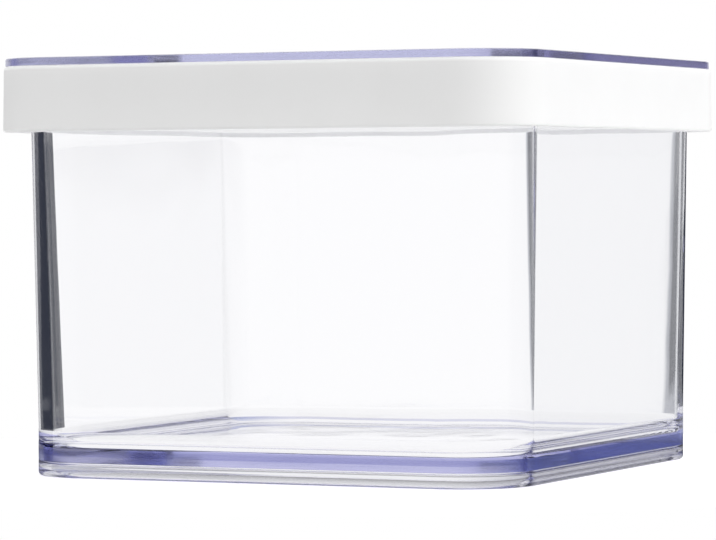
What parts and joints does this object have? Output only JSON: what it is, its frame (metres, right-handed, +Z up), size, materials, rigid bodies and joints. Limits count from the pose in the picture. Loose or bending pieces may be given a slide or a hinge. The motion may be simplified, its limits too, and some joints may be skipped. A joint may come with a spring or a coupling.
{
  "type": "storage box with lid",
  "caption": "Clear square storage box with rounded corners and a lift-off lid made of a white frame, a clear plate and a soft seal.",
  "frame": {"origin": "on the ground under the middle of the box", "axes": "+X along one side of the square box, +Y along the next side, +Z up through the lid"},
  "size_m": [0.16, 0.16, 0.1142],
  "materials": {
    "clear_tub": "polished clear moulding, violet tint along its edges",
    "white_frame": "satin moulded white",
    "clear_plate": "polished clear plate, violet tint along its edges",
    "soft_seal": "soft milky seal"
  },
  "bodies": {
    "tub": {"tub": "clear_tub"},
    "lid": {"lid_frame": "white_frame", "lid_plate": "clear_plate", "seal_ring": "soft_seal"}
  },
  "joints": [
    {"name": "lid_lift", "type": "slide", "parent": "tub", "child": "lid", "axis": [0, 0, 1], "range_m": [0, 0.16]}
  ]
}
